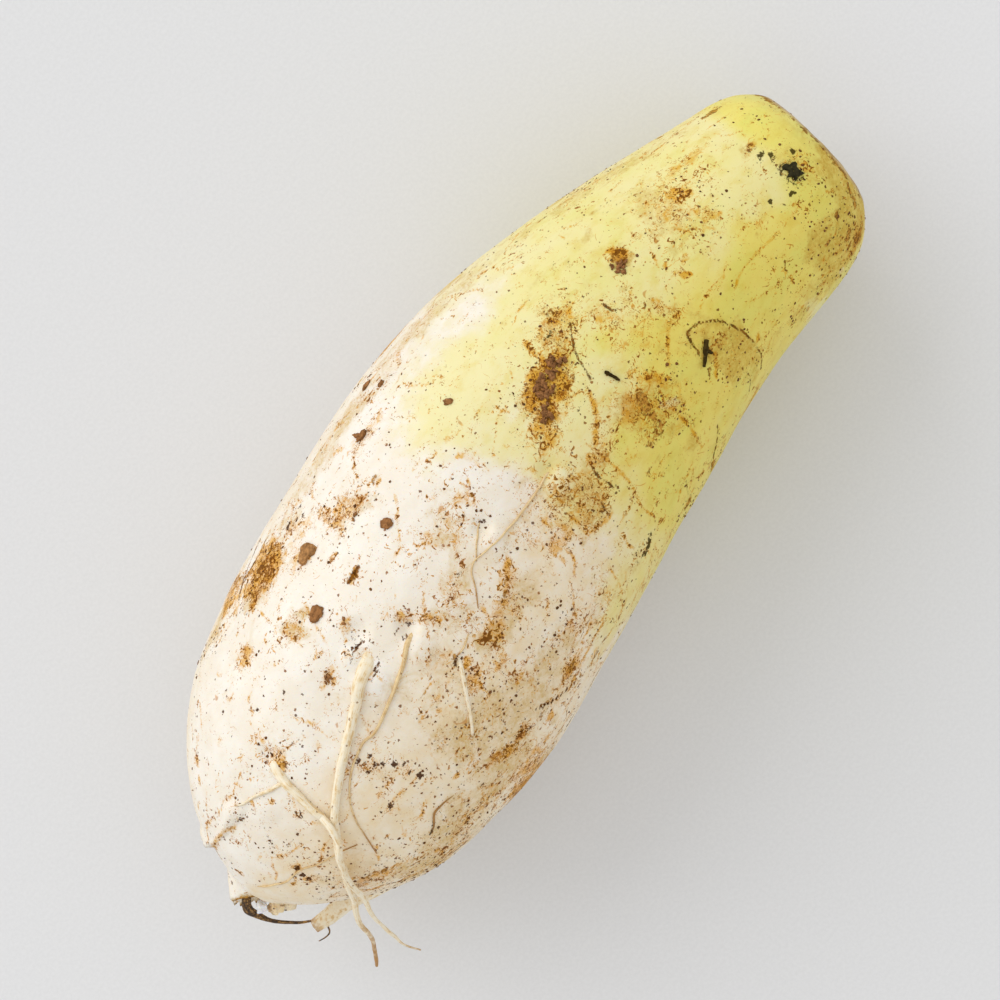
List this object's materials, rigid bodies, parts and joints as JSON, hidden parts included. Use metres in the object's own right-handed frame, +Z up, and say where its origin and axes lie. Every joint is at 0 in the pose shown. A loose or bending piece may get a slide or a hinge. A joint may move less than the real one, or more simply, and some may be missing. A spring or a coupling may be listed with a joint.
{
  "type": "daikon radish",
  "caption": "Thick bowed white radish with a green shoulder, lying on its side, with trailing side roots and crumbs of dried soil on its skin.",
  "frame": {"origin": "on the resting plane, under the middle of the whole object's box", "axes": "+X along the root from the tail to the crown, +Z up, +Y towards the side that the root bows to"},
  "size_m": [0.2834, 0.1164, 0.1073],
  "materials": {
    "skin": "smooth raw radish skin, white to yellow-green, satin, with dried soil",
    "side_root": "pale raw root, matte",
    "root_hair": "thin brown root, matte",
    "dried_fibre": "dried dark root fibre, matte",
    "torn_flesh": "moist torn root flesh",
    "soil": "dried clay soil, dull",
    "plant_litter": "dark dry twig bits, dull"
  },
  "bodies": {
    "root": {"dried_tail_fibre": "dried_fibre", "far_flank_root": "root_hair", "forked_root_hair": "dried_fibre", "middle_root_hair": "root_hair", "near_flank_root": "root_hair", "radish_body": "skin", "shoulder_root_hair": "root_hair", "side_root_flat": "side_root", "side_root_left": "side_root", "side_root_short": "side_root", "side_root_stub": "side_root", "side_root_thick": "side_root", "side_root_thin": "root_hair", "soil_crumb_01": "soil", "soil_crumb_02": "soil", "soil_crumb_03": "soil", "soil_crumb_04": "soil", "soil_crumb_05": "soil", "soil_crumb_06": "soil", "soil_crumb_07": "soil", "soil_crumb_08": "soil", "soil_crumb_09": "soil", "soil_crumb_10": "soil", "soil_crumb_11": "soil", "soil_crumb_12": "soil", "soil_crumb_13": "soil", "soil_crumb_14": "soil", "soil_crumb_15": "soil", "stray_root_hair": "root_hair", "stub_root_hair": "dried_fibre", "tail_root_hair": "root_hair", "torn_flesh_beige": "torn_flesh", "torn_flesh_clear": "torn_flesh", "torn_flesh_white": "torn_flesh", "twig_bit_dark": "plant_litter", "twig_bit_short": "plant_litter"}
  },
  "joints": []
}
